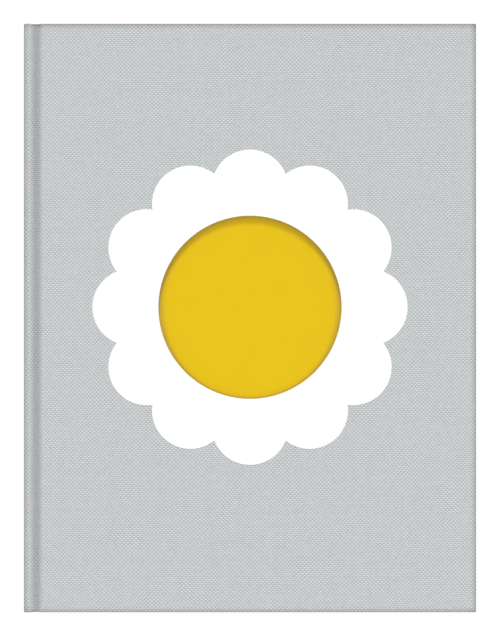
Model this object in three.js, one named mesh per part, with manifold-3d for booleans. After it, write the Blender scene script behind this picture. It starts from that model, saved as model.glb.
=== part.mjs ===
// A cloth-bound hardcover book, shut and lying flat on its back cover.
// Millimetres, +Z up. +X runs from the spine to the fore-edge and +Y from the foot to the head.
// The origin is on the surface that the book lies on, under the middle of its cover.
import * as THREE from "three";
import { mergeVertices } from "three/addons/utils/BufferGeometryUtils.js";
import Module from "manifold-3d";

// The case: two boards and a spine strip, measured over their cloth
const COVER_WIDTH = 212.5;
const COVER_HEIGHT = 276.5;
const COVER_THICK = 3.2;
const SPINE_THICK = 3.3;
const JOINT_WIDTH = 5.2; // the groove between the spine strip and a board
const EDGE_RADIUS = 0.9; // how softly the cloth turns over an edge
const TURN_IN = 3; // cloth folded onto a board's inner face that the pasted-down paper leaves bare
const PASTEDOWN_THICK = 0.3;
const GROOVE_CLOTH = 0.8; // cloth and lining under the deepest line of a groove
const GROOVE_DIP = 0.5; // how far the cloth in a groove stops short of the cover's head and foot

// The leaves
const SQUARE = 3; // how far the covers stand out past the leaves on three sides
const BLOCK_THICK = 23.2; // the sewn leaves
const FLYLEAF_THICK = 0.25;
const COVER_GAP = 0.2; // air between a cover and the flyleaf under it
const HOLLOW = 0.8; // between the sewn back and the spine strip
const BACK_RADIUS = 1.2; // rounding of the two long edges of the sewn back
const BAND_RADIUS = 1.1; // the bead of a head or tail band
const BAND_TAPE = 12; // how far a band's tape runs down the sewn back
const BAND_TAPE_THICK = 0.4;

// The design sunk and printed in the front cover
const DESIGN_RISE = 5; // how far the design's centre lies above the cover's middle
const INLAY_RADIUS = 43;
const INLAY_DEPTH = 2; // from the cover's face down to the inlay's floor
const INLAY_THICK = 0.3;
const INLAY_CLEARANCE = 0.1; // all round the inlay, in its pocket
const PRINT_THICK = 0.15;
const PETALS = 12;
const PETAL_RADIUS = 18;
const PETAL_CENTRES = 56; // radius of the circle that the petals' centres lie on

// Steps that curves are cut into
const EDGE_STEPS = 4;
const GROOVE_STEPS = 16;
const INLAY_STEPS = 120;
const PETAL_STEPS = 14;
const BAND_STEPS = 12;

// Levels and places that follow from the sizes
const leavesThick = BLOCK_THICK + 2 * FLYLEAF_THICK;
const bookThick = leavesThick + 2 * (COVER_GAP + COVER_THICK);
const foreEdge = COVER_WIDTH / 2;
const spineInner = SPINE_THICK - foreEdge;
const boardInner = spineInner + JOINT_WIDTH;
const boardWidth = foreEdge - boardInner;
const boardMiddle = (foreEdge + boardInner) / 2;
const blockBack = spineInner + HOLLOW;
const blockWidth = foreEdge - SQUARE - blockBack;
const blockHeight = COVER_HEIGHT - 2 * SQUARE;
const pocketRadius = INLAY_RADIUS + INLAY_THICK + INLAY_CLEARANCE;
const pocketFloor = COVER_THICK - INLAY_DEPTH - INLAY_THICK;

const cloth = new THREE.MeshStandardMaterial({ color: 0xc6cacb, roughness: 0.85, metalness: 0 });
const paper = new THREE.MeshStandardMaterial({ color: 0xf3f0e8, roughness: 0.8, metalness: 0 });
const white = new THREE.MeshStandardMaterial({ color: 0xfdfdfd, roughness: 0.6, metalness: 0 });
const yellow = new THREE.MeshStandardMaterial({ color: 0xe9c41e, roughness: 0.55, metalness: 0 });
const thread = new THREE.MeshStandardMaterial({ color: 0xeceae4, roughness: 0.9, metalness: 0 });

const wasm = await Module();
wasm.setup();

// A closed geometry as a solid that can be cut.
function toSolid(geometry) {
  const bare = geometry.clone();
  bare.deleteAttribute("normal");
  bare.deleteAttribute("uv");
  const merged = mergeVertices(bare, 1e-4);
  const mesh = new wasm.Mesh({
    numProp: 3,
    vertProperties: merged.attributes.position.array,
    triVerts: new Uint32Array(merged.index.array),
  });
  return new wasm.Manifold(mesh);
}

// The first geometry, less all the others.
function cut(geometry, ...cutters) {
  const left = cutters.reduce((solid, cutter) => solid.subtract(toSolid(cutter)), toSolid(geometry));
  const mesh = left.getMesh();
  const result = new THREE.BufferGeometry();
  result.setAttribute("position", new THREE.BufferAttribute(mesh.vertProperties, 3));
  result.setIndex(new THREE.BufferAttribute(mesh.triVerts, 1));
  result.computeVertexNormals();
  return result;
}

function addMesh(group, name, geometry, material) {
  const mesh = new THREE.Mesh(geometry, material);
  mesh.name = name;
  group.add(mesh);
}

// A box that stands on z = 0, from `left` to `right` in x and centred on y.
function sheet(left, right, height, thick) {
  const geometry = new THREE.BoxGeometry(right - left, height, thick);
  return geometry.translate((left + right) / 2, 0, thick / 2);
}

// A shape in x and z carried along y, centred on y = 0.
function alongHeight(shape, length) {
  const geometry = new THREE.ExtrudeGeometry(shape, { depth: length, bevelEnabled: false });
  return geometry.rotateX(Math.PI / 2).translate(0, length / 2, 0);
}

// A cloth-covered board, rounded along every edge with square corners, centred on x and y and
// standing on z = 0.
function coveredBoard(width, height, thick) {
  const x = width / 2;
  const y = height / 2;
  const shape = new THREE.Shape([
    new THREE.Vector2(-x, -y),
    new THREE.Vector2(x, -y),
    new THREE.Vector2(x, y),
    new THREE.Vector2(-x, y),
  ]);
  const geometry = new THREE.ExtrudeGeometry(shape, {
    depth: thick - 2 * EDGE_RADIUS,
    bevelEnabled: true,
    bevelThickness: EDGE_RADIUS,
    bevelSize: EDGE_RADIUS,
    bevelOffset: -EDGE_RADIUS,
    bevelSegments: EDGE_STEPS,
  });
  return geometry.translate(0, 0, EDGE_RADIUS);
}

// The paper pasted to a board's inner face, flush with the cloth that is turned in on three sides of it.
function pastedown() {
  const spineSide = EDGE_RADIUS - boardWidth / 2;
  const foreSide = boardWidth / 2 - TURN_IN;
  return sheet(spineSide, foreSide, COVER_HEIGHT - 2 * TURN_IN, PASTEDOWN_THICK);
}

// The round pocket that the inlay sits in, from its floor up through the cover's outer face.
function inlayPocket() {
  const above = 1;
  const tall = COVER_THICK - pocketFloor + above;
  const geometry = new THREE.CylinderGeometry(pocketRadius, pocketRadius, tall, INLAY_STEPS);
  return geometry.rotateX(Math.PI / 2).translate(-boardMiddle, DESIGN_RISE, pocketFloor + tall / 2);
}

// The inlay: a shallow round dish with a flat floor and a low wall up to the cover's face.
function inlay() {
  const outer = INLAY_RADIUS + INLAY_THICK;
  const floor = pocketFloor + INLAY_THICK;
  const profile = [
    [0, pocketFloor],
    [outer, pocketFloor],
    [outer, COVER_THICK],
    [INLAY_RADIUS, COVER_THICK],
    [INLAY_RADIUS, floor],
    [0, floor],
  ].map(([radius, level]) => new THREE.Vector2(radius, level));
  const geometry = new THREE.LatheGeometry(profile, INLAY_STEPS);
  return geometry.rotateX(Math.PI / 2).translate(-boardMiddle, DESIGN_RISE, 0);
}

// How far a petal reaches from the ring's centre, at an angle from the petal's middle line:
// its end is an arc of a circle, whose own centre lies on the circle of petal centres.
function petalReach(angle) {
  const aside = PETAL_CENTRES * Math.sin(angle);
  return PETAL_CENTRES * Math.cos(angle) + Math.sqrt(PETAL_RADIUS ** 2 - aside ** 2);
}

// The thin printed field of petals round the inlay.
function petalPrint() {
  const petalAngle = (2 * Math.PI) / PETALS;
  const points = [];
  for (let petal = 0; petal < PETALS; petal += 1) {
    for (let step = 0; step < PETAL_STEPS; step += 1) {
      const aside = petalAngle * (step / PETAL_STEPS - 0.5);
      const angle = petal * petalAngle + aside;
      const reach = petalReach(aside);
      points.push(new THREE.Vector2(reach * Math.cos(angle), reach * Math.sin(angle)));
    }
  }
  const shape = new THREE.Shape(points);
  const opening = new THREE.Path();
  opening.absarc(0, 0, pocketRadius, 0, 2 * Math.PI, true);
  shape.holes.push(opening);
  const geometry = new THREE.ExtrudeGeometry(shape, {
    depth: PRINT_THICK,
    bevelEnabled: false,
    curveSegments: INLAY_STEPS / 2,
  });
  return geometry.translate(-boardMiddle, DESIGN_RISE, COVER_THICK);
}

function frontCover() {
  const group = new THREE.Group();
  group.position.set(boardMiddle, 0, bookThick - COVER_THICK);
  const board = coveredBoard(boardWidth, COVER_HEIGHT, COVER_THICK);
  addMesh(group, "front_board", cut(board, pastedown(), inlayPocket()), cloth);
  addMesh(group, "front_pastedown", pastedown(), paper);
  addMesh(group, "yellow_inlay", inlay(), yellow);
  addMesh(group, "petal_print", petalPrint(), white);
  return group;
}

function backCover() {
  const group = new THREE.Group();
  group.position.set(boardMiddle, 0, COVER_THICK);
  group.rotation.x = Math.PI;
  const board = coveredBoard(boardWidth, COVER_HEIGHT, COVER_THICK);
  addMesh(group, "back_board", cut(board, pastedown()), cloth);
  addMesh(group, "back_pastedown", pastedown(), paper);
  return group;
}

// The spine strip stands on edge, its inner face towards the leaves.
function spine() {
  const group = new THREE.Group();
  group.position.set(spineInner, 0, bookThick / 2);
  group.rotation.y = -Math.PI / 2;
  addMesh(group, "spine_board", coveredBoard(bookThick, COVER_HEIGHT, SPINE_THICK), cloth);
  return group;
}

// The cloth in a joint groove: flat where it lies on the flyleaf, and hollowed above in a valley
// whose sides rise as the cube of the distance from its middle line.
function jointCloth() {
  const top = COVER_THICK - EDGE_RADIUS;
  const bottom = -COVER_GAP;
  const valley = bottom + GROOVE_CLOTH;
  const width = JOINT_WIDTH - COVER_GAP;
  const shape = new THREE.Shape();
  shape.moveTo(0, bottom);
  shape.lineTo(width, bottom);
  for (let step = GROOVE_STEPS; step >= 0; step -= 1) {
    const across = step / GROOVE_STEPS;
    const rise = Math.abs(2 * across - 1) ** 3;
    shape.lineTo(width * across, valley + (top - valley) * rise);
  }
  shape.closePath();
  return alongHeight(shape, COVER_HEIGHT - 2 * GROOVE_DIP);
}

function joints() {
  const front = new THREE.Group();
  front.position.set(spineInner, 0, bookThick - COVER_THICK);
  addMesh(front, "front_joint_cloth", jointCloth(), cloth);
  const back = new THREE.Group();
  back.position.set(spineInner, 0, COVER_THICK);
  back.rotation.x = Math.PI;
  addMesh(back, "back_joint_cloth", jointCloth(), cloth);
  return new THREE.Group().add(front, back);
}

// The sewn leaves: a square-backed block, with the two long edges of its back softly rounded.
function textBlock() {
  const cornerX = BACK_RADIUS;
  const cornerZ = BLOCK_THICK / 2 - BACK_RADIUS;
  const shape = new THREE.Shape();
  shape.moveTo(blockWidth, -BLOCK_THICK / 2);
  shape.lineTo(blockWidth, BLOCK_THICK / 2);
  shape.absarc(cornerX, cornerZ, BACK_RADIUS, Math.PI / 2, Math.PI, false);
  shape.absarc(cornerX, -cornerZ, BACK_RADIUS, Math.PI, 1.5 * Math.PI, false);
  shape.closePath();
  return alongHeight(shape, blockHeight);
}

function leaves() {
  const group = new THREE.Group();
  group.position.set(blockBack, 0, bookThick / 2);
  const flyleaf = () => sheet(BACK_RADIUS, blockWidth, blockHeight, FLYLEAF_THICK);
  addMesh(group, "text_block", textBlock(), paper);
  addMesh(group, "front_flyleaf", flyleaf().translate(0, 0, BLOCK_THICK / 2), paper);
  addMesh(group, "back_flyleaf", flyleaf().translate(0, 0, -BLOCK_THICK / 2 - FLYLEAF_THICK), paper);
  return group;
}

// A band: a bead along the edge of the sewn back, and the tape that holds it there.
function band() {
  const end = blockHeight / 2;
  const beadX = BAND_RADIUS - BAND_TAPE_THICK;
  const shape = new THREE.Shape();
  shape.moveTo(-BAND_TAPE_THICK, end - BAND_TAPE);
  shape.lineTo(0, end - BAND_TAPE);
  shape.lineTo(0, end);
  shape.absarc(beadX, end + BAND_RADIUS, BAND_RADIUS, -Math.PI / 2, Math.PI, false);
  shape.closePath();
  const length = BLOCK_THICK - 2 * BACK_RADIUS;
  const geometry = new THREE.ExtrudeGeometry(shape, {
    depth: length,
    bevelEnabled: false,
    curveSegments: BAND_STEPS,
  });
  return geometry.translate(0, 0, -length / 2);
}

function bands() {
  const head = new THREE.Group();
  head.position.set(blockBack, 0, bookThick / 2);
  addMesh(head, "head_band", band(), thread);
  const tail = new THREE.Group();
  tail.position.copy(head.position);
  tail.rotation.x = Math.PI;
  addMesh(tail, "tail_band", band(), thread);
  return new THREE.Group().add(head, tail);
}

const book = new THREE.Group();
book.add(frontCover(), backCover(), spine(), joints(), leaves(), bands());

export default book;
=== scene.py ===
"""A cloth-bound hardcover book, lying shut on its back cover, with petals round a sunken disc."""

import math

import bpy
import numpy as np
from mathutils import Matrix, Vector


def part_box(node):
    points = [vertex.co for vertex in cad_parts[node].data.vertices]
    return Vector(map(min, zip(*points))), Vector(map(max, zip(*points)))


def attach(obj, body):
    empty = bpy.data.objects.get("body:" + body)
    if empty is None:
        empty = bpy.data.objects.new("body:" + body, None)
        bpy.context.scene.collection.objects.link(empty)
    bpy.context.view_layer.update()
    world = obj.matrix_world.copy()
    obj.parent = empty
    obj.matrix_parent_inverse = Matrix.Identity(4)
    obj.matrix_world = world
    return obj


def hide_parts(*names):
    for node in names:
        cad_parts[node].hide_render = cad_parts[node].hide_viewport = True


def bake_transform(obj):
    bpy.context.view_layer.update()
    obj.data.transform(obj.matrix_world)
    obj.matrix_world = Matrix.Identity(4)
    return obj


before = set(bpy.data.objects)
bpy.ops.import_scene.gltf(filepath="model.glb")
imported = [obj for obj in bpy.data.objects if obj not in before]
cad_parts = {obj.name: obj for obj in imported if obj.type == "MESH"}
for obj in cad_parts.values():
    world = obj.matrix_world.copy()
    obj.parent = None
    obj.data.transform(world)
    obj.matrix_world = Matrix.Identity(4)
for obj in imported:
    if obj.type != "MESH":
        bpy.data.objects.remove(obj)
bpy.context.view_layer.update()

MM = 0.001
HAIR = 0.01 * MM  # a step too small to see, which keeps two faces apart


def box(node):
    """Lowest and highest corner of a node, in metres."""
    low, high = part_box(node)
    return np.array(low), np.array(high)


# Where the frame's parts lie
front_low, front_high = box("front_board")
_, back_high = box("back_board")
spine_low, spine_high = box("spine_board")
paste_low, paste_high = box("front_pastedown")
leaves_low, leaves_high = box("text_block")
flyleaf_low, flyleaf_high = box("front_flyleaf")
dish_low, dish_high = box("yellow_inlay")
print_low, print_high = box("petal_print")

BOARD_THICK = front_high[2] - front_low[2]
SPINE_THICK = spine_high[0] - spine_low[0]
BOOK_THICK = spine_high[2]
HALF_HEIGHT = front_high[1]
BOARD_MIDDLE = (front_low[0] + front_high[0]) / 2
BOARD_HALF = (front_high[0] - front_low[0]) / 2
TURN_IN = front_high[0] - paste_high[0]
PASTE_INSET = paste_low[0] - front_low[0]
PASTE_THICK = paste_high[2] - paste_low[2]
GROOVE_MIDDLE = (spine_high[0] + front_low[0]) / 2
GROOVE_HALF = (front_low[0] - spine_high[0]) / 2

# Cloth turned over the edges of the boards and the spine strip
EDGE_IN = 2.2 * MM  # how far in from the outline the outer face starts to fall
EDGE_DOWN = 1.3 * MM
SHOULDER = 0.9 * MM  # the sharper turn beside a joint groove and on inner faces
BOARD_CORNER = 0.5 * MM
SPINE_CORNER = 0.3 * MM
SPINE_END = 0.3 * MM  # how far in from its head and foot the strip's outer face starts to fall
FLAT_RIM = 0.6 * MM  # the last strip of a flat face before an edge turns
EDGE_STEPS = 8
CORNER_STEPS = 3
SIDE_COLUMNS = 80

# Painted shade: darker cloth along the edges
EDGE_PAINTED_SHADE_REACH = 2.8 * MM  # in from the outline
EDGE_PAINTED_SHADE_DEPTH = 2.2 * MM  # down the edge
EDGE_PAINTED_SHADE_POWER = 1.3
HEAD_EDGE_PAINTED_SHADE = 0.60
SIDE_EDGE_PAINTED_SHADE = 0.33
FOOT_EDGE_PAINTED_SHADE = 0.10
SPINE_EDGE_PAINTED_SHADE = 0.27  # at both ends of the spine strip

# The cloth in a joint groove
GROOVE_SLOPE = math.radians(42)
GROOVE_TURN = 0.4 * MM  # the radius over its edges
GROOVE_ROUND = 0.7 * MM  # the radius at its bottom
GROOVE_END = 0.09 * MM  # how far the cloth stops short of the cover's head and foot
SKIN_THICK = 0.55 * MM
SKIN_THIN = 0.4  # share of that thickness where it lies over a board
SKIN_PROUD = 0.03 * MM
SKIN_OVERLAP = 0.45 * MM
SKIN_INSET = 0.02 * MM
# Painted shade in a joint groove: one tone in its middle, and darker tones at its head and foot
GROOVE_TONE = 0.79
GROOVE_SHADE = 1.1  # how far its painted shade reaches from the middle, in half widths
GROOVE_END_REACH = 1.6 * MM  # how far in from its ends its painted shade is darker still
GROOVE_HEAD_TONE = 0.38
GROOVE_FOOT_TONE = 0.6

# The endpaper in a joint
HINGE_THICK = 0.09 * MM
HINGE_STEPS = 24
LAP_ON_LEAF = 0.3 * MM
LAP_ON_COVER = 1.2 * MM
RISE_FROM = 0.2  # the share of its width where it leaves the leaf
RISE_WIDTH = 0.6

# The sunken disc
DESIGN_X = (dish_low[0] + dish_high[0]) / 2
DESIGN_Y = (dish_low[1] + dish_high[1]) / 2
DISH_OUTER = (dish_high[0] - dish_low[0]) / 2
DISH_WALL = 0.3 * MM
DISH_FILLET = 0.35 * MM
DISH_DEPTH = dish_high[2] - dish_low[2] - DISH_WALL
POCKET_RADIUS = DISH_OUTER + 0.1 * MM
# Painted shade in the dish: up its wall, and on its floor near the wall
DISH_PAINTED_SHADE_REACH = 3.6 * MM  # how far in from the wall the floor has painted shade
DISH_PAINTED_SHADE_FOOT_REACH = 0.7 * MM
DISH_PAINTED_SHADE = 0.33  # at its left and right
DISH_PAINTED_SHADE_HEAD = 0.2
DISH_PAINTED_SHADE_FOOT = 0.5
DISH_PAINTED_SHADE_RINGS = np.array([0.8, 0.6, 0.4, 0.28, 0.18, 0.1, 0.03])  # places of rings, as shares of the reach
FLOOR_RINGS = 12
FILLET_STEPS = 7
RIM_STEPS = 9
DISH_COLUMNS = 192

# The print
PETALS = 12
PETAL_RADIUS = 18 * MM
PETAL_CENTRES = (print_high[0] - print_low[0]) / 2 - PETAL_RADIUS
PETAL_STEPS = 32
PRINT_SOFT = 0.8  # the radius along its edges, as a share of its thickness
PRINT_STEPS = 4

# The leaves
SECTIONS = 9
LEAVES_PER_SECTION = 16
LEAVES = SECTIONS * LEAVES_PER_SECTION
LEAF_BEVEL = 0.2  # of a leaf's thickness
LEAF_GROOVE = 0.05 * MM
SECTION_GROOVE = 0.13 * MM
LEAF_UNEVEN = 0.05 * MM
LEAF_WAVES = (3, 7)  # waves in one turn round the block
BACK_RADIUS = 1.2 * MM
LEAF_COLUMNS = 28  # a side

# The bands
BEAD_RADIUS = 1.1 * MM
BEAD_DIP = 0.12 * MM
BEAD_PITCH = 0.62 * MM
BEAD_ROWS = 8  # a turn of the thread
BEAD_COLUMNS = 24
BEAD_END = 0.7  # length of its rounded end, in radii
# painted shade in the dips between the thread's turns
BEAD_DIP_TONE = 0.35
TAPE_THICK = 0.4 * MM


def smooth(share):
    """0 to 1 with flat ends: 3t^2 - 2t^3, t held between 0 and 1."""
    t = np.clip(share, 0, 1)
    return t * t * (3 - 2 * t)


# Surfaces

class Patch:
    """A grid of points with a UV and a tone at each. Rows run so that row x column points outwards."""

    def __init__(self, points, uv, tone=None):
        self.points = np.asarray(points, float)
        self.uv = np.asarray(uv, float)
        rows, columns = self.points.shape[:2]
        self.tone = np.ones((rows, columns)) if tone is None else np.broadcast_to(tone, (rows, columns))

    def faces(self, offset):
        rows, columns = self.points.shape[:2]
        index = offset + np.arange(rows * columns).reshape(rows, columns)
        corners = (index[:-1, :-1], index[1:, :-1], index[1:, 1:], index[:-1, 1:])
        return np.stack(corners, axis=-1).reshape(-1, 4)


def add_piece(name, patches, material, sharp=math.radians(50)):
    """One mesh from grids whose shared edges are welded. Each face keeps its own grid's UVs."""
    points = np.concatenate([p.points.reshape(-1, 3) for p in patches])
    uv = np.concatenate([p.uv.reshape(-1, 2) for p in patches])
    tone = np.concatenate([p.tone.ravel() for p in patches])
    offsets = np.cumsum([0] + [p.tone.size for p in patches[:-1]])
    quads = np.concatenate([p.faces(offset) for p, offset in zip(patches, offsets)])

    weld = 1e-7
    places = np.round(points / weld).astype(np.int64)
    _, first, same = np.unique(places, axis=0, return_index=True, return_inverse=True)
    same = same.ravel()
    faces = []
    loops = []
    for quad, welded in zip(quads.tolist(), same[quads].tolist()):
        keep = [i for i in range(4) if welded[i] != welded[i - 1]]
        if len(keep) > 2 and len({welded[i] for i in keep}) == len(keep):
            faces.append([welded[i] for i in keep])
            loops.extend(quad[i] for i in keep)

    mesh = bpy.data.meshes.new(name)
    mesh.from_pydata(points[first].tolist(), [], faces)
    layer = mesh.uv_layers.new(name="weave")
    layer.data.foreach_set("uv", uv[loops].astype(np.float32).ravel())
    attribute = mesh.attributes.new("tone", "FLOAT", "POINT")
    attribute.data.foreach_set("value", tone[first].astype(np.float32))
    mesh.polygons.foreach_set("use_smooth", [True] * len(mesh.polygons))
    mesh.set_sharp_from_angle(angle=sharp)
    mesh.materials.append(material)
    mesh.update()
    piece = bpy.data.objects.new(name, mesh)
    bpy.context.scene.collection.objects.link(piece)
    return piece


def placed(local, origin, axes):
    """Points given in a piece's own three directions, put in place."""
    return np.asarray(origin) + local @ np.asarray(axes, float)


# Shaders

class Value:
    """A number that varies over a surface. Python's operators on it add Math nodes."""

    def __init__(self, shader, socket):
        self.shader = shader
        self.socket = socket

    def maths(self, operation, *values):
        inputs = dict(enumerate(values))
        return self.shader.node("Math", {"operation": operation}, inputs)

    def __add__(self, other):
        return self.maths("ADD", self, other)

    def __sub__(self, other):
        return self.maths("SUBTRACT", self, other)

    def __rsub__(self, other):
        return self.maths("SUBTRACT", other, self)

    def __mul__(self, other):
        return self.maths("MULTIPLY", self, other)

    def __truediv__(self, other):
        return self.maths("DIVIDE", self, other)

    def __abs__(self):
        return self.maths("ABSOLUTE", self)

    def cos(self):
        return self.maths("COSINE", self)

    def sin(self):
        return self.maths("SINE", self)

    def tanh(self):
        return self.maths("TANH", self)

    def round(self):
        return self.maths("ROUND", self)

    def larger(self, other):
        return self.maths("MAXIMUM", self, other)

    __radd__ = __add__
    __rmul__ = __mul__


class Shader:
    """A node tree for one material or for the sky, with a last node that everything feeds."""

    def __init__(self, tree, last):
        self.tree = tree
        self.last = tree.nodes[last]

    def node(self, kind, settings, inputs, output=0):
        """A node of one type, its settings set first, then values or links in its sockets."""
        made = self.tree.nodes.new("ShaderNode" + kind)
        for setting, value in settings.items():
            setattr(made, setting, value)
        for socket, value in inputs.items():
            self.feed(made.inputs[socket], value)
        return Value(self, made.outputs[output])

    def feed(self, socket, value):
        if isinstance(value, Value):
            self.tree.links.new(value.socket, socket)
        else:
            socket.default_value = value

    def set(self, socket, value):
        self.feed(self.last.inputs[socket], value)

    def vector(self, x, y, z=0.0):
        return self.node("CombineXYZ", {}, {0: x, 1: y, 2: z})

    def parts(self, vector):
        """The x, y and z of a vector."""
        first = self.node("SeparateXYZ", {}, {0: vector})
        return [Value(self, socket) for socket in first.socket.node.outputs]

    def mix(self, factor, first, second, blend="MIX"):
        """A colour between two colours, or the first one multiplied by the second by that factor."""
        settings = {"data_type": "RGBA", "blend_type": blend}
        return self.node("Mix", settings, {0: factor, 6: first, 7: second}, output=2)

    def noise(self, vector, scale, detail=2.0):
        inputs = {"Vector": vector, "Scale": scale, "Detail": detail}
        return self.node("TexNoise", {}, inputs)

    def chance(self, first, second):
        """A number from 0 to 1 that stays the same for each pair of whole numbers."""
        pair = self.vector(first, second)
        return self.node("TexWhiteNoise", {"noise_dimensions": "2D"}, {"Vector": pair})

    def place(self):
        return self.node("TexCoord", {}, {}, output=3)

    def attribute(self, name):
        return self.node("Attribute", {"attribute_name": name}, {}, output=2)

    def mottle(self, scale, detail=4.0):
        """Soft blotches or fine fibres all over a piece, by their scale in turns per metre."""
        return self.noise(self.place(), scale, detail)

    def bump(self, height, distance):
        self.set("Normal", self.node("Bump", {}, {"Height": height, "Distance": distance}))


def finish(name, **constants):
    """A new material's shader, with the values that stay the same all over set on its sockets."""
    material = bpy.data.materials.new(name)
    material.use_nodes = True
    shade = Shader(material.node_tree, "Principled BSDF")
    for socket, value in constants.items():
        shade.set(socket.replace("_", " "), value)
    return material, shade


def grey(level):
    return (level, level, level, 1.0)


# Colours, as linear red, green, blue and alpha
CLOTH_LIGHT = (0.775, 0.802, 0.800, 1.0)
CLOTH_DARK = (0.315, 0.326, 0.327, 1.0)
CLOTH_COOL = (0.90, 0.96, 1.06, 1.0)  # what the cooler patches are multiplied by
# the colour of the cloth's painted shade, along the edges and in the grooves
CLOTH_PAINTED_SHADE = (0.036, 0.015, 0.027, 1.0)
PAPER_LIGHT = (0.880, 0.860, 0.805, 1.0)
PAPER_DARK = (0.790, 0.770, 0.718, 1.0)
PAPER_OVER_CLOTH = (0.60, 0.61, 0.60, 1.0)
LEAVES_LIGHT = (0.93, 0.91, 0.86, 1.0)
LEAVES_DARK = (0.66, 0.63, 0.56, 1.0)
INK_LIGHT = grey(0.99)
INK_DARK = grey(0.97)
YELLOW_LIGHT = (0.795, 0.540, 0.010, 1.0)
YELLOW_DARK = (0.765, 0.512, 0.008, 1.0)
# the colour of the dish's painted shade
YELLOW_PAINTED_SHADE = (0.27, 0.21, 0.11, 1.0)
THREAD_LIGHT = (0.88, 0.86, 0.81, 1.0)
THREAD_DARK = grey(0.35)

# The weave's places are in thread spacings across and along the cover, its scales in turns for each
WARP_PITCH = 0.93 * MM
WEFT_PITCH = 0.917 * MM
WEFT_LIGHT = 0.35
WARP_DARK = 0.26
WARP_GAP = 0.20  # how dark the gaps beside the warp threads are, as painted shade
WEFT_GAP = 0.15
PIT_DARK = 1.2
CLOTH_LEVEL = 0.512  # between the dark colour at 0 and the light one at 1
# The mean of |cos| is 2/pi, of half the wave 1/2 and of (1 - |cos|)^2 is 3/2 - 4/pi
PATTERN_MEAN = (WEFT_LIGHT - WARP_DARK) / math.pi - (WARP_GAP + WEFT_GAP) * (1.5 - 4 / math.pi)
PATTERN_SPREAD = 0.181  # its standard deviation
FULL_CONTRAST = 0.75  # the tone down to which cloth in painted shade keeps its contrast
WANDER = 0.9  # how far threads stray from straight lines
WANDER_SCALE = 0.045
LEAN = 0.6
LEAN_SCALE = 0.16
UNEVEN = 1.9
UNEVEN_SCALE = 0.1
SLUBS = 0.05
SLUB_SCALE = 0.09
THREAD_SHADES = 0.017
CROSSING_SHADES = 0.10
COOLNESS = 0.22
COOL_SCALE = 0.03
FUZZ = 0.25
FUZZ_SCALE = 7.0
CLOTH_RELIEF = 0.12 * MM
INK_RELIEF = 0.012 * MM

PAPER_FIBRES = 1800.0  # in turns per metre
TURNED_IN = 15 * MM  # how far the cloth reaches over a board's inner face, under the paper
STEP_WIDTH = 0.5 * MM
STEP_WAVER = 0.8 * MM


def weave(across, along):
    """A plain weave's two sets of threads and their gaps, and the number of each thread.

    A thread's cross-section is |cos|. It is up where it passes over and down where it passes under,
    as half a cosine wave along it, and each neighbour is half a wave later. The gap beside a thread
    is (1 - |cos|)^2.
    """
    warp_number = across.round()
    weft_number = along.round()
    warp_section = abs((across * math.pi).cos())
    weft_section = abs((along * math.pi).cos())
    warp = warp_section * (0.5 + 0.5 * ((along + warp_number) * math.pi).cos())
    weft = weft_section * (0.5 - 0.5 * ((across + weft_number) * math.pi).cos())
    warp_gap, weft_gap = ((1 - section) * (1 - section) for section in (warp_section, weft_section))
    return warp, weft, warp_gap, weft_gap, warp_number, weft_number


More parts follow.
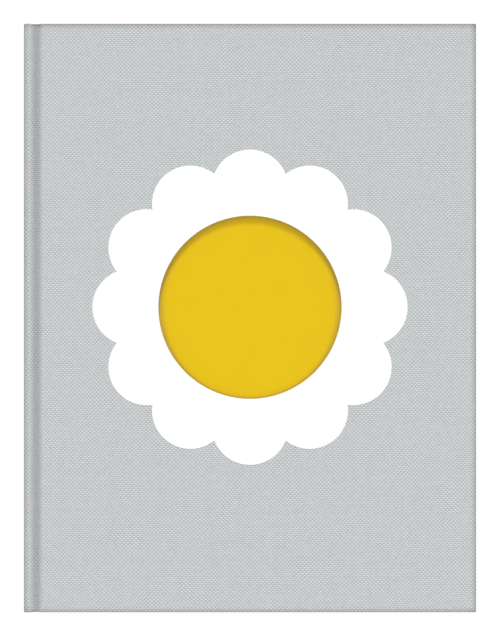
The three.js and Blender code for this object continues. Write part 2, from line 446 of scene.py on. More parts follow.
def cloth_material():
    """Matt grey book cloth: warp darker than weft, each thread and crossing a little different.

    The threads wander slowly from straight lines, and the dye is a touch cooler in places. The
    pattern p is bent to p + PIT_DARK (spread^2 - p^2), which makes its pits darker as painted shade
    and keeps its mean. In patches the light crossings lean towards each other along one diagonal, by
    sin across times sin along. Where the tone is low, along the edges and in the joint grooves, the
    colour gives way to a dark colour of painted shade.
    """
    material, shade = finish("book_cloth", Roughness=0.9, Specular_IOR_Level=0.2, Sheen_Weight=0.05)
    run = shade.parts(shade.node("UVMap", {"uv_map": "weave"}, {}))
    across = run[0] / WARP_PITCH
    along = run[1] / WEFT_PITCH
    straight = shade.vector(across, along)
    sideways = shade.noise(straight, WANDER_SCALE, detail=1.0) - 0.5
    lengthways = shade.noise(shade.vector(along, across, 9.0), WANDER_SCALE, detail=1.0) - 0.5
    across = across + sideways * WANDER
    along = along + lengthways * WANDER
    warp, weft, warp_gap, weft_gap, warp_number, weft_number = weave(across, along)

    # The weave's light and dark is partly the threads' own colour and partly painted shade of the
    # threads and of the gaps between them, beside the bump's relief
    pattern = weft * WEFT_LIGHT - warp * WARP_DARK - warp_gap * WARP_GAP - weft_gap * WEFT_GAP
    pattern = pattern - PATTERN_MEAN
    pattern = pattern + PIT_DARK * (PATTERN_SPREAD**2 - pattern * pattern)
    contrast = 1 + (shade.noise(straight, UNEVEN_SCALE, detail=4.0) - 0.5) * UNEVEN
    tone = shade.attribute("tone")
    patch = shade.noise(straight, LEAN_SCALE, detail=1.0) - 0.5
    lean = (across * math.pi).sin() * (along * math.pi).sin() * patch * LEAN
    warp_slub = shade.noise(shade.vector(warp_number, along * SLUB_SCALE), 1.0) - 0.5
    weft_slub = shade.noise(shade.vector(across * SLUB_SCALE, weft_number), 1.0) - 0.5
    slubs = (warp_slub + weft_slub) * SLUBS
    threads = (shade.chance(warp_number, 3.0) + shade.chance(weft_number, 7.0) - 1.0) * THREAD_SHADES
    crossings = (shade.chance(warp_number, weft_number) - 0.5) * CROSSING_SHADES
    level = CLOTH_LEVEL + pattern * contrast / tone.larger(FULL_CONTRAST)
    level = level + lean + slubs + threads + crossings
    colour = shade.mix(level, CLOTH_DARK, CLOTH_LIGHT)
    tint = shade.mix(shade.noise(straight, COOL_SCALE), grey(1.0), CLOTH_COOL)
    tinted = shade.mix(COOLNESS, colour, tint, blend="MULTIPLY")
    # Painted shade: where the tone is low, the colour goes dark
    shade.set("Base Color", shade.mix(tone, CLOTH_PAINTED_SHADE, tinted))

    fuzz = shade.noise(shade.vector(across, along), FUZZ_SCALE, detail=4.0)
    shade.bump(warp.larger(weft) + slubs + fuzz * FUZZ, CLOTH_RELIEF)
    return material


def paper_colour(shade):
    """Soft mottling with fine fibres in it."""
    level = shade.mottle(45.0) * 0.6 + shade.mottle(PAPER_FIBRES) * 0.4
    return shade.mix(level, PAPER_DARK, PAPER_LIGHT)


def paper_material():
    """Uncoated endpaper."""
    material, shade = finish("uncoated_endpaper", Roughness=0.85, Specular_IOR_Level=0.2)
    shade.set("Base Color", paper_colour(shade))
    shade.bump(shade.mottle(PAPER_FIBRES), 0.03 * MM)
    return material


def pasted_material():
    """Endpaper pasted over turned-in cloth: it steps up by the cloth's thickness near three edges.

    The step is 0.5 + 0.5 tanh of the distance past the cloth's edge, over half a millimetre.
    """
    material, shade = finish("pasted_endpaper", Roughness=0.85, Specular_IOR_Level=0.2)
    x, y, _ = shade.parts(shade.place())
    waver = shade.mottle(40.0, detail=1.0) * STEP_WAVER
    past_side = x - (front_high[0] - TURNED_IN)
    past_end = abs(y) - (HALF_HEIGHT - TURNED_IN)
    over_cloth = 0.5 + 0.5 * ((past_side.larger(past_end) + waver) / STEP_WIDTH).tanh()
    shade.set("Base Color", shade.mix(over_cloth * 0.10, paper_colour(shade), PAPER_OVER_CLOTH))
    shade.bump(shade.mottle(PAPER_FIBRES) * 0.15 + over_cloth, 0.2 * MM)
    return material


def page_edge_material():
    """The cut edges of many leaves: fine lines round the block, and softer bands between them."""
    material, shade = finish("page_edges", Roughness=0.8, Specular_IOR_Level=0.2)
    x, y, z = shade.parts(shade.place())
    fine = shade.noise(shade.vector(x * 25.0, y * 25.0, z * 6000.0), 1.0)
    bands = shade.noise(shade.vector(x * 3.0, y * 3.0, z * 900.0), 1.0)
    level = fine * 0.7 + bands * 0.6 - 0.15
    shade.set("Base Color", shade.mix(level, LEAVES_DARK, LEAVES_LIGHT))
    shade.bump(fine, 0.05 * MM)
    return material


def print_material():
    """Smooth white ink, with a hint of the weave under it."""
    material, shade = finish("white_ink", Roughness=0.5, Specular_IOR_Level=0.25)
    x, y, _ = shade.parts(shade.place())
    warp, weft, *_ = weave(x / WARP_PITCH, y / WEFT_PITCH)
    shade.set("Base Color", shade.mix(shade.mottle(60.0, detail=3.0), INK_DARK, INK_LIGHT))
    shade.bump(warp.larger(weft), INK_RELIEF)
    return material


def yellow_material():
    """Satin yellow paper, with painted shade up the wall and on the floor near it."""
    material, shade = finish("satin_yellow_paper", Roughness=0.55, Specular_IOR_Level=0.08)
    yellow = shade.mix(shade.mottle(90.0), YELLOW_DARK, YELLOW_LIGHT)
    shade.set("Base Color", shade.mix(shade.attribute("tone"), YELLOW_PAINTED_SHADE, yellow))
    shade.bump(shade.mottle(1500.0), 0.02 * MM)
    return material


def thread_material():
    """Wound band thread, off-white, with painted shade between its turns, and fine fibres."""
    material, shade = finish("wound_thread", Roughness=0.85, Specular_IOR_Level=0.2, Sheen_Weight=0.1)
    fibres = shade.mottle(2500.0)
    level = shade.attribute("tone") * 0.8 + fibres * 0.3
    shade.set("Base Color", shade.mix(level, THREAD_DARK, THREAD_LIGHT))
    shade.bump(fibres, 0.05 * MM)
    return material


cloth = cloth_material()
endpaper = paper_material()
pasted_endpaper = pasted_material()
page_edges = page_edge_material()
white_ink = print_material()
yellow_paper = yellow_material()
band_thread = thread_material()


# Cloth-covered boards

def cloth_rings(half, thick, edge_in, window, recess):
    """Rings round a covered board, from the middle of its outer face over its edge to its inner face.

    Four columns, one a side: how far each ring reaches from the middle, and how far the cloth has run
    from where the outer face starts to fall. The fall is a quarter ellipse, the side is upright, and
    the inner edge is a quarter circle. Then come the turn-in and the step up to the paper's window.
    """
    angle = np.linspace(0, math.pi / 2, EDGE_STEPS + 1)
    outer = edge_in * (1 - np.sin(angle))[:, None]
    inner = SHOULDER * (1 - np.cos(angle))[:, None] * np.ones(4)
    inset = np.concatenate([[half, edge_in + FLAT_RIM], outer, inner, [window, window + HAIR, half]])
    level = np.concatenate([
        [thick, thick],
        thick - EDGE_DOWN * (1 - np.cos(angle)),
        SHOULDER * (1 - np.sin(angle)),
        [0, recess, recess],
    ])
    steps = np.hypot(np.diff(inset, axis=0), np.diff(level)[:, None])
    run = np.concatenate([np.zeros((1, 4)), np.cumsum(steps, axis=0)]) - (half - edge_in)
    return half - inset, level, run


def board_side(side, rings, half, edge_in, corner):
    """One quarter of a covered board: its side, and its share of both faces as far as the mitres.

    Each ring is a straight line with an eighth of a circle at either end.
    """
    reach, level, run = rings
    turn_steps = np.linspace(0, math.pi / 4, CORNER_STEPS + 1)[1:]
    along = np.linspace(0, 1, SIDE_COLUMNS + 1)
    share = np.concatenate([0 * turn_steps, along, 0 * turn_steps + 1])
    turn = np.concatenate([-turn_steps[::-1], 0 * along, turn_steps])
    out = reach[:, side, None]
    radius = np.minimum(corner, reach.min(axis=1))[:, None]
    first = -(reach[:, side - 1, None] - radius)
    last = reach[:, (side + 1) % 4, None] - radius
    sideways = first + (last - first) * share + radius * np.sin(turn)
    outwards = out - radius * (1 - np.cos(turn))
    cloth_out = np.broadcast_to(half[side] - edge_in[side] + run[:, side, None], sideways.shape)
    cloth_side = first + (last - first) * share + radius * turn
    angle = side * math.pi / 2
    c, s = round(math.cos(angle)), round(math.sin(angle))
    points = np.stack([
        outwards * c - sideways * s,
        outwards * s + sideways * c,
        np.broadcast_to(level[:, None], sideways.shape),
    ], axis=-1)
    uv = np.stack([cloth_out * c - cloth_side * s, cloth_out * s + cloth_side * c], axis=-1)
    return points, uv


def painted_edge_shade(points):
    """Tone of the cloth: painted shade, darker towards the book's outline, by each side's own share.

    Seen from in front a share is (1 - inset / reach)^1.3, and it fades down the edge. The spine
    strip has its own share at its two ends.
    """
    x, y, z = np.moveaxis(points, -1, 0)
    deep = np.minimum(z, BOOK_THICK - z)
    here = 1 - smooth((deep - EDGE_DOWN / 2) / EDGE_PAINTED_SHADE_DEPTH)
    inset_x = np.minimum(x - spine_low[0], front_high[0] - x)
    inset_y = HALF_HEIGHT - np.abs(y)
    near_x, near_y = (
        np.clip(1 - inset / EDGE_PAINTED_SHADE_REACH, 0, 1) ** EDGE_PAINTED_SHADE_POWER for inset in (inset_x, inset_y)
    )
    # Painted shade at the head, the foot and the spine strip's ends, most at the head
    painted_shade_y = np.where(y > 0, HEAD_EDGE_PAINTED_SHADE, FOOT_EDGE_PAINTED_SHADE)
    painted_shade_y = np.where(x < GROOVE_MIDDLE, SPINE_EDGE_PAINTED_SHADE, painted_shade_y)
    return (1 - SIDE_EDGE_PAINTED_SHADE * near_x * here) * (1 - painted_shade_y * near_y * here)


def with_pocket(points, uv, centre, radius, floor):
    """The middle of the outer face gives way to a round pocket.

    Its rings are its floor's middle, its floor's rim and its top rim, which lies on rays from its
    centre to the face's last ring.
    """
    outer = points[1]
    ray = outer[:, :2] - centre
    ray = ray / np.linalg.norm(ray, axis=1)[:, None]
    rim = np.concatenate([centre + radius * ray, outer[:, 2:]], axis=1)
    bottom = np.concatenate([rim[:, :2], np.full((len(rim), 1), floor)], axis=1)
    middle = np.broadcast_to([centre[0], centre[1], floor], rim.shape)
    top = np.stack([middle, bottom, rim])
    return np.concatenate([top, points[1:]]), np.concatenate([top[..., :2], uv[1:]])


def covered_board(name, size, edge_in, window, recess, corner, origin, axes, pocket=None):
    """A board in cloth, with a window for paper on its inner face and a pocket if one is asked for."""
    half_p, half_q, thick = size
    half = np.array([half_p, half_q, half_p, half_q])
    rings = cloth_rings(half, thick, edge_in, window, recess)
    patches = []
    for side in range(4):
        points, uv = board_side(side, rings, half, edge_in, corner)
        if pocket is not None:
            points, uv = with_pocket(points, uv, *pocket)
        points = placed(points, origin, axes)
        # Its tone is painted shade along the edges
        patches.append(Patch(points, uv, painted_edge_shade(points)))
    piece = add_piece(name, patches, cloth)
    return piece


X, Y, Z = np.eye(3)

front = covered_board(
    "front_cloth_cover",
    size=(BOARD_HALF, HALF_HEIGHT, BOARD_THICK),
    edge_in=np.array([EDGE_IN, EDGE_IN, SHOULDER, EDGE_IN]),
    window=np.array([TURN_IN, TURN_IN, PASTE_INSET, TURN_IN]),
    recess=PASTE_THICK,
    corner=BOARD_CORNER,
    origin=(BOARD_MIDDLE, 0, front_low[2]),
    axes=(X, Y, Z),
    pocket=(
        np.array([DESIGN_X - BOARD_MIDDLE, DESIGN_Y]),
        POCKET_RADIUS,
        dish_low[2] - front_low[2],
    ),
)
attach(front, "front_cover")
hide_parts("front_board")

back = covered_board(
    "back_cloth_cover",
    size=(BOARD_HALF, HALF_HEIGHT, BOARD_THICK),
    edge_in=np.array([SHOULDER, EDGE_IN, EDGE_IN, EDGE_IN]),
    window=np.array([PASTE_INSET, TURN_IN, TURN_IN, TURN_IN]),
    recess=PASTE_THICK,
    corner=BOARD_CORNER,
    origin=(BOARD_MIDDLE, 0, back_high[2]),
    axes=(-X, Y, -Z),
)
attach(back, "back_cover")
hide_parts("back_board")

spine = covered_board(
    "spine_cloth_strip",
    size=(BOOK_THICK / 2, HALF_HEIGHT, SPINE_THICK),
    edge_in=np.array([EDGE_DOWN, SPINE_END, EDGE_DOWN, SPINE_END]),
    window=np.full(4, TURN_IN),
    recess=HAIR,
    corner=SPINE_CORNER,
    origin=(spine_high[0], 0, BOOK_THICK / 2),
    axes=(Z, Y, -X),
)
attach(spine, "block")
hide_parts("spine_board")


# Cloth and paper in the joints

def groove_path():
    """The cloth's outer line across a groove, as x from its middle and z from the cover's face.

    From each side it follows a quarter circle down to the groove's slope, leaves it in a straight line
    and meets the other side's line in a small arc. Half is worked out and mirrored.
    """
    start = np.array([-GROOVE_HALF - GROOVE_TURN - SKIN_OVERLAP, -SKIN_PROUD])
    angle = np.linspace(0, GROOVE_SLOPE, EDGE_STEPS)
    radius = GROOVE_TURN + SKIN_PROUD
    turn = np.stack([
        -GROOVE_HALF - GROOVE_TURN + radius * np.sin(angle),
        -GROOVE_TURN + radius * np.cos(angle),
    ], axis=1)
    leave = turn[-1]
    tip = leave[1] + leave[0] * math.tan(GROOVE_SLOPE)
    centre = tip + GROOVE_ROUND / math.cos(GROOVE_SLOPE)
    angle = np.linspace(-GROOVE_SLOPE, 0, EDGE_STEPS)
    bottom = np.stack([GROOVE_ROUND * np.sin(angle), centre - GROOVE_ROUND * np.cos(angle)], axis=1)
    share = np.linspace(0, 1, EDGE_STEPS)[1:-1, None]
    straight = leave + (bottom[0] - leave) * share
    half = np.concatenate([start[None], turn, straight, bottom])
    other = half[-2::-1] * [-1, 1]
    return np.concatenate([half, other])


def fall_below(inset, reach, depth):
    """How far a quarter ellipse has dropped at an inset from the outline."""
    share = np.clip(1 - inset / reach, 0, 1)
    return depth * (1 - np.sqrt(1 - share**2))


def skin(path, thick, half_length, lowered=None):
    """A thin sheet carried along a path in x and z, closed all round: out along y, back underneath.

    Its section is a flat strip with half-round ends. Rows follow the path and columns run round the
    section, closer together near its ends. Both ends of the path close on the section's middle.
    lowered gives each place's height from its path's height and its y.
    """
    step = np.gradient(path, axis=0)
    normal = np.stack([-step[:, 1], step[:, 0]], axis=1)
    normal /= np.linalg.norm(normal, axis=1)[:, None]
    run = np.concatenate([[0], np.cumsum(np.linalg.norm(np.diff(path, axis=0), axis=1))])

    falling = EDGE_IN * (1 - np.sin(np.linspace(0, math.pi / 2, EDGE_STEPS + 1)))
    inset = np.append(EDGE_IN + FLAT_RIM, falling)
    side = np.concatenate([-np.ones(len(inset)), np.ones(len(inset))])
    inset = np.concatenate([inset[::-1], inset])
    turn = np.linspace(0, math.pi, 2 * CORNER_STEPS + 1)[1:-1]
    flat, none = 0 * inset, 0 * turn
    down, up = 0.5 - 0.5 * np.cos(turn), 0.5 + 0.5 * np.cos(turn)
    side = np.concatenate([side, none + 1, side[::-1], none - 1, [-1]])
    bulge = np.concatenate([flat, np.sin(turn), flat, np.sin(turn), [0]])
    depth = np.concatenate([flat, down, flat + 1, up, [0]])
    inset = np.concatenate([inset, none, inset[::-1], none, [0]])

    thick = np.broadcast_to(thick, len(path))[:, None]
    straight = np.broadcast_to(half_length, len(path))[:, None] - thick / 2
    y = side * (straight - inset)
    height = np.broadcast_to(path[:, 1, None], y.shape)
    if lowered is not None:
        height = lowered(height, y)
    sunk = depth * thick
    points = np.stack([
        path[:, 0, None] - normal[:, 0, None] * sunk,
        y + side * bulge * thick / 2,
        height - normal[:, 1, None] * sunk,
    ], axis=-1)
    uv = np.stack([np.broadcast_to((run - run[-1] + path[-1, 0])[:, None], y.shape), y], axis=-1)
    ends = [np.broadcast_to(points[end].mean(axis=0), points[end].shape)[None] for end in (0, -1)]
    points = np.concatenate([ends[0], points, ends[1]])
    uv = np.concatenate([uv[:1], uv, uv[-1:]])
    return points, uv


def turned_over(points, uv, top):
    """The same sheet for the back cover."""
    points = points * [1, 1, -1] + [0, 0, top]
    return points[:, ::-1], uv[:, ::-1] * [-1, 1]


def joint_skin(name, flip):
    """The cloth of one joint groove, from the spine strip's edge to the board's edge.

    At its head and foot it falls with the edges on either side of it, or stays in the groove where
    that is lower, and its tone is darker there. Its tone is painted shade, in the groove and more at
    its ends.
    """
    path = groove_path()
    lift = smooth(-path[:, 1] / SHOULDER)
    half_length = HALF_HEIGHT - SKIN_INSET - GROOVE_END * lift
    to_board = smooth((path[:, 0] / GROOVE_HALF + 1) / 2)[:, None]
    reach = SPINE_CORNER + (EDGE_IN - SPINE_CORNER) * to_board
    depth = SPINE_CORNER + (EDGE_DOWN - SPINE_CORNER) * to_board
    proud = np.full((len(path), 1), SKIN_PROUD)
    proud[[0, -1]] = -SKIN_PROUD

    def lowered(height, y):
        return np.minimum(height, proud - fall_below(HALF_HEIGHT - np.abs(y), reach, depth))

    thick = SKIN_THICK * (SKIN_THIN + (1 - SKIN_THIN) * lift)
    points, uv = skin(path, thick, half_length, lowered)
    in_groove = 1 - smooth(np.abs(points[..., 0]) / (GROOVE_SHADE * GROOVE_HALF))
    points += [GROOVE_MIDDLE, 0, BOOK_THICK]
    uv[..., 0] += GROOVE_MIDDLE - BOARD_MIDDLE
    if flip:
        points, uv = turned_over(points, uv, BOOK_THICK)
        in_groove = in_groove[:, ::-1]
    y = points[..., 1]
    near_end = smooth(1 - (HALF_HEIGHT - np.abs(y)) / GROOVE_END_REACH)
    end_tone = np.where(y > 0, GROOVE_HEAD_TONE, GROOVE_FOOT_TONE)
    # Painted shade in the groove, and more at its ends
    tone = painted_edge_shade(points) * (1 - (1 - GROOVE_TONE) * in_groove)
    tone *= 1 - (1 - end_tone) * in_groove * near_end
    piece = add_piece(name, [Patch(points, uv, tone)], cloth)
    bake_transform(piece)
    return piece


front_joint = joint_skin("front_joint_skin", flip=False)
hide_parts("front_joint_cloth")
back_joint = joint_skin("back_joint_skin", flip=True)
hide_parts("back_joint_cloth")


def hinge_paper(name, flip):
    """The endpaper where it crosses from the flyleaf to the paper pasted in the cover."""
    rise = paste_low[2] - flyleaf_high[2] - HINGE_THICK - HAIR
    start = flyleaf_low[0] - LAP_ON_LEAF
    end = paste_low[0] + LAP_ON_COVER
    share = np.linspace(0, 1, HINGE_STEPS)
    x = start + (end - start) * share
    z = flyleaf_high[2] + HINGE_THICK + rise * smooth((share - RISE_FROM) / RISE_WIDTH)
    points, uv = skin(np.stack([x, z], axis=1), HINGE_THICK, leaves_high[1])
    if flip:
        points, uv = turned_over(points, uv, BOOK_THICK)
    piece = add_piece(name, [Patch(points, uv)], endpaper)
    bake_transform(piece)


hinge_paper("front_hinge_paper", flip=False)
hinge_paper("back_hinge_paper", flip=True)


# The sunken disc and the print

def arc(centre, radius, first, last, steps):
    """Points on a circle from one angle to another, in degrees."""
    angle = np.radians(np.linspace(first, last, steps))
    return np.stack([centre[0] + radius * np.cos(angle), centre[1] + radius * np.sin(angle)], axis=1)


def turned(radius, height):
    """Rings round the design's middle: radius and height for each row, at the angles of the columns."""
    angle = np.linspace(0, 2 * math.pi, radius.shape[1])
    points = np.stack([
        DESIGN_X + radius * np.cos(angle),
        DESIGN_Y + radius * np.sin(angle),
        np.broadcast_to(height[:, None], radius.shape),
    ], axis=-1)
    return points, points[..., :2]


def yellow_dish():
    """A shallow round dish: flat floor, a fillet up to its wall and a softly rounded rim.

    Its profile, from the middle of the floor outwards and back underneath, is turned round once. Its
    tone is painted shade: low up the wall, and on the floor near it by smooth(1 - distance / reach),
    less at the head and in a narrower strip at the foot.
    """
    wall = DISH_OUTER - DISH_WALL
    top = dish_high[2]
    floor = top - DISH_DEPTH
    rim = DISH_WALL / 2
    inner = wall - DISH_FILLET
    plain_rings = np.linspace(0, inner - DISH_PAINTED_SHADE_REACH, FLOOR_RINGS)
    rings = np.append(plain_rings, inner - DISH_PAINTED_SHADE_REACH * DISH_PAINTED_SHADE_RINGS)
    profile = np.concatenate([
        np.stack([rings, np.full(len(rings), floor)], axis=1),
        arc((wall - DISH_FILLET, floor + DISH_FILLET), DISH_FILLET, -90, 0, FILLET_STEPS),
        arc((wall + rim, top - rim), rim, 180, 0, RIM_STEPS),
        [(DISH_OUTER, dish_low[2]), (0, dish_low[2])],
    ])
    radius, height = profile.T
    points, uv = turned(np.broadcast_to(radius[:, None], (len(radius), DISH_COLUMNS + 1)), height)
    up_the_wall = smooth((height - floor) / DISH_FILLET) * (height < top - rim)
    towards_head = np.sin(np.linspace(0, 2 * math.pi, DISH_COLUMNS + 1))
    head_side, foot_side = smooth(towards_head), smooth(-towards_head)
    reach = DISH_PAINTED_SHADE_REACH + (DISH_PAINTED_SHADE_FOOT_REACH - DISH_PAINTED_SHADE_REACH) * foot_side
    # Painted shade near the wall: less at the head, stronger but narrower at the foot
    painted_wall_shade = DISH_PAINTED_SHADE + (DISH_PAINTED_SHADE_HEAD - DISH_PAINTED_SHADE) * head_side + (DISH_PAINTED_SHADE_FOOT - DISH_PAINTED_SHADE) * foot_side
    near_wall = painted_wall_shade * smooth(1 - (inner - radius[:, None]) / reach)
    tone = 1 - np.maximum(up_the_wall[:, None], near_wall)
    piece = add_piece("yellow_dish", [Patch(points, uv, tone)], yellow_paper)
    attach(piece, "front_cover")
    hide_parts("yellow_inlay")


def petal_reach(angle):
    """How far the print reaches at an angle: to the far side of the nearest petal's circle."""
    gap = 2 * math.pi / PETALS
    aside = (angle + gap / 2) % gap - gap / 2
    across = PETAL_CENTRES * np.sin(aside)
    return PETAL_CENTRES * np.cos(aside) + np.sqrt(PETAL_RADIUS**2 - across**2)


def petal_field():
    """A thin layer between the dish's wall and the petals' outline, rounded along both edges.

    Rings run from the bottom of the inner edge over the top to the bottom of the outer edge.
    """
    low, high = print_low[2], print_high[2]
    soft = (high - low) * PRINT_SOFT
    outer = petal_reach(np.linspace(0, 2 * math.pi, PETALS * PETAL_STEPS + 1))
    inner = np.full(outer.shape, DISH_OUTER - DISH_WALL)
    quarter = np.linspace(math.pi / 2, 0, PRINT_STEPS)
    inset = np.concatenate([[0], soft * (1 - np.sin(quarter)), [2 * soft]])
    level = np.concatenate([[low], high - soft * (1 - np.cos(quarter)), [high]])
    radius = np.concatenate([inner + inset[:, None], outer - inset[::-1, None], inner[None]])
    height = np.concatenate([level, level[::-1], [low]])
    points, uv = turned(radius, height)
    piece = add_piece("white_petals", [Patch(points, uv)], white_ink)
    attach(piece, "front_cover")
    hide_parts("petal_print")


yellow_dish()
petal_field()


# The leaves and their bands

def leaf_rows():
    """Height, inset and leaf of each row, from the top down: a leaf is a ridge between two grooves."""
    thick = (leaves_high[2] - leaves_low[2]) / LEAVES
    number = np.arange(LEAVES)
    bottom = number * thick
    groove = np.where(number % LEAVES_PER_SECTION == 0, SECTION_GROOVE, LEAF_GROOVE)
    ridge = [bottom + LEAF_BEVEL * thick, bottom + (1 - LEAF_BEVEL) * thick]
    height = np.stack([bottom, *ridge], axis=1).ravel()
    inset = np.stack([groove, 0 * groove, 0 * groove], axis=1).ravel()
    leaf = np.repeat(number, 3)
    height = np.append(height, LEAVES * thick)
    inset = np.append(inset, 0)
    leaf = np.append(leaf, LEAVES - 1)
    return (leaves_low[2] + height)[::-1], inset[::-1], leaf[::-1]


def leaf_block():
    """The sewn leaves: a rectangle's outline at each row, moved in or out leaf by leaf.

    A leaf's place wanders along its edge as the sum of two sine waves with seeded heights and phases.
    The sewn back is rounded along its two long edges.
    """
    rng = np.random.default_rng(7)
    height, inset, leaf = leaf_rows()
    low, high = leaves_low, leaves_high
    corners = np.array([[high[0], low[1]], [high[0], high[1]], [low[0], high[1]], [low[0], low[1]]])
    share = np.linspace(0, 1, LEAF_COLUMNS + 1)[:-1]
    sides = [corners[i] + (corners[(i + 1) % 4] - corners[i]) * share[:, None] for i in range(4)]
    outline = np.concatenate(sides + [corners[:1]])
    run = np.concatenate([[0], np.cumsum(np.linalg.norm(np.diff(outline, axis=0), axis=1))])
    turn = 2 * math.pi * run / run[-1]
    amount = rng.normal(0, LEAF_UNEVEN / 2, (2, LEAVES))
    phase = rng.uniform(0, 2 * math.pi, (2, LEAVES))
    wander = sum(
        amount[k, leaf, None] * np.sin(waves * turn + phase[k, leaf, None])
        for k, waves in enumerate(LEAF_WAVES)
    )
    offset = np.minimum(wander, LEAF_UNEVEN) - inset[:, None] - LEAF_UNEVEN
    out_x, out_y = ((outline == high[:2]).astype(float) - (outline == low[:2])).T
    middle = (low[2] + high[2]) / 2
    beyond = np.clip(np.abs(height - middle) - ((high[2] - low[2]) / 2 - BACK_RADIUS), 0, BACK_RADIUS)
    rounding = BACK_RADIUS - np.sqrt(BACK_RADIUS**2 - beyond**2)
    x = outline[:, 0] + offset * out_x + rounding[:, None] * (out_x < 0)
    y = outline[:, 1] + offset * out_y
    z = np.broadcast_to(height[:, None], x.shape)
    points = np.stack([x, y, z], axis=-1)
    caps = []
    for row in (0, -1):
        centre = np.array([(low[0] + high[0]) / 2, 0, height[row]])
        caps.append(np.broadcast_to(centre, points[row].shape)[None])
    points = np.concatenate([caps[0], points, caps[1]])
    piece = add_piece("leaf_block", [Patch(points, points[..., :2])], page_edges)
    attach(piece, "block")
    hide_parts("text_block")


def wound_bead(x, y, first, last):
    """A thread wound round an upright core, from one height to another.

    It is a tube whose radius dips between turns: R - d(1 - |sin|) of the place along it plus the
    angle round it, which makes one long helix. Its ends round off.
    """
    rows = BEAD_ROWS * int((last - first) / BEAD_PITCH)
    z = np.linspace(last, first, rows)[:, None]
    angle = np.linspace(0, 2 * math.pi, BEAD_COLUMNS + 1)
    wind = np.abs(np.sin(math.pi * (z / BEAD_PITCH + angle / (2 * math.pi))))
    edge = np.minimum(z - first, last - z) / (BEAD_END * BEAD_RADIUS)
    cap = np.sqrt(1 - (1 - np.clip(edge, 0, 1)) ** 2)
    reach = (BEAD_RADIUS - BEAD_DIP * (1 - wind)) * cap
    points = np.stack([
        x + reach * np.cos(angle),
        y + reach * np.sin(angle),
        np.broadcast_to(z, reach.shape),
    ], axis=-1)
    # The tone is painted shade in the dips between turns
    return Patch(points, points[..., :2], BEAD_DIP_TONE + (1 - BEAD_DIP_TONE) * wind)


def upright_tape(inner, near, far, first, last):
    """A strip of tape that stands on end: a rectangle's outline at two heights, closed at both."""
    x = inner + TAPE_THICK * np.array([0, 1, 1, 0, 0])
    y = np.array([near, near, far, far, near])
    z = np.array([last, last, first, first])[:, None]
    points = np.stack([np.broadcast_to(values, (4, 5)) for values in (x, y, z)], axis=-1).copy()
    points[[0, -1], :, :2] = inner + TAPE_THICK / 2, (near + far) / 2
    return Patch(points, points[..., 1:])


def band(name, node, at_head):
    """A band: a bead of wound thread, on a tape that runs down the sewn back."""
    low, high = box(node)
    first, last = low[2], high[2]
    x = high[0] - BEAD_RADIUS
    y = (high[1] - BEAD_RADIUS) if at_head else (low[1] + BEAD_RADIUS)
    near, far = (low[1], y) if at_head else (y, high[1])
    bead = wound_bead(x, y, first, last)
    tape = upright_tape(x - BEAD_RADIUS, near, far, first, last)
    piece = add_piece(name, [bead, tape], band_thread)
    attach(piece, "block")
    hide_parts(node)


leaf_block()
band("head_band_thread", "head_band", at_head=True)
band("tail_band_thread", "tail_band", at_head=False)

papers = {
    "front_pastedown": pasted_endpaper,
    "back_pastedown": pasted_endpaper,
    "front_flyleaf": endpaper,
    "back_flyleaf": endpaper,
}
for node, material in papers.items():
    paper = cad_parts[node]
    paper.data.materials.clear()
    paper.data.materials.append(material)


# Floor, light and camera

FLOOR_HALF = 8.0
FLOOR_DROP = 0.1 * MM
FLOOR_GREY = 0.22
FLOOR_GLOW = 0.85
SUN_SHARE = 0.235  # of the light that a level white surface needs to look full white
SKY_SHARE = 0.825
GROUND_SHARE = 0.35  # what comes up from below
HORIZON = 0.03, 0.2  # sines of the elevations between which the white gives way
VIEW_HEIGHT = 298.6 * MM  # of the picture, at the cover's face
LENS = 200.0
SENSOR = 36.0


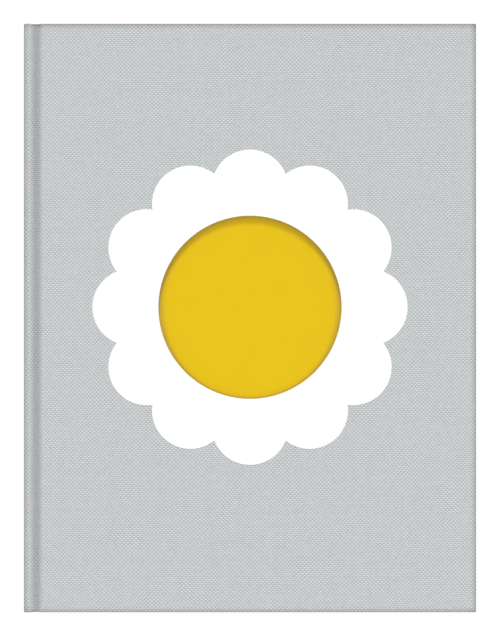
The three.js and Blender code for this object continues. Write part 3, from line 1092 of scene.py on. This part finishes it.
def floor():
    """A wide white floor that glows a little, so that shadows on it stay pale."""
    corners = [(x * FLOOR_HALF, y * FLOOR_HALF, 0) for x, y in ((-1, -1), (1, -1), (1, 1), (-1, 1))]
    mesh = bpy.data.meshes.new("floor")
    mesh.from_pydata(corners, [], [(0, 1, 2, 3)])
    material, _ = finish(
        "floor_white", Base_Color=grey(FLOOR_GREY), Roughness=1.0, Specular_IOR_Level=0.0,
        Emission_Color=grey(1.0), Emission_Strength=FLOOR_GLOW,
    )
    mesh.materials.append(material)
    plane = bpy.data.objects.new("floor", mesh)
    bpy.context.scene.collection.objects.link(plane)
    plane.location.z = -FLOOR_DROP
    plane.visible_diffuse = False


def sun(share, azimuth, elevation, spread):
    """Parallel light that gives a level white surface this share of full white."""
    light = bpy.data.lights.new("key", "SUN")
    light.energy = share * math.pi / math.sin(math.radians(elevation))
    light.angle = math.radians(spread)
    lamp = bpy.data.objects.new("key", light)
    a, e = math.radians(azimuth), math.radians(elevation)
    towards = Vector((math.sin(a) * math.cos(e), math.cos(a) * math.cos(e), math.sin(e)))
    lamp.rotation_mode = "QUATERNION"
    lamp.rotation_quaternion = towards.to_track_quat("Z", "Y")
    bpy.context.scene.collection.objects.link(lamp)


def sky(above, below):
    """Even pale light from above and less from below, white at the horizon where it meets the floor."""
    world = bpy.data.worlds.new("studio")
    world.use_nodes = True
    shade = Shader(world.node_tree, "Background")
    rise = shade.parts(shade.node("TexCoord", {}, {}, output=0))[2]
    settings = {"interpolation_type": "SMOOTHSTEP"}
    near, far = HORIZON
    up = shade.node("MapRange", settings, {0: rise, 1: near, 2: far, 3: 0.0, 4: above - 1})
    down = shade.node("MapRange", settings, {0: rise, 1: -near, 2: -far, 3: 0.0, 4: below - 1})
    shade.set("Color", grey(1.0))
    shade.set("Strength", up + down + 1.0)
    bpy.context.scene.world = world


def camera():
    """Straight above the cover, as far away as a long lens needs to see the view's height."""
    data = bpy.data.cameras.new("camera")
    data.lens = LENS
    data.sensor_width = SENSOR
    eye = bpy.data.objects.new("camera", data)
    eye.location = (0, 0, BOOK_THICK + VIEW_HEIGHT * LENS / SENSOR)
    bpy.context.scene.collection.objects.link(eye)
    bpy.context.scene.camera = eye


bpy.context.scene.view_settings.view_transform = "Standard"
floor()
sun(SUN_SHARE, azimuth=0, elevation=28.5, spread=13)
sky(SKY_SHARE, GROUND_SHARE)
camera()
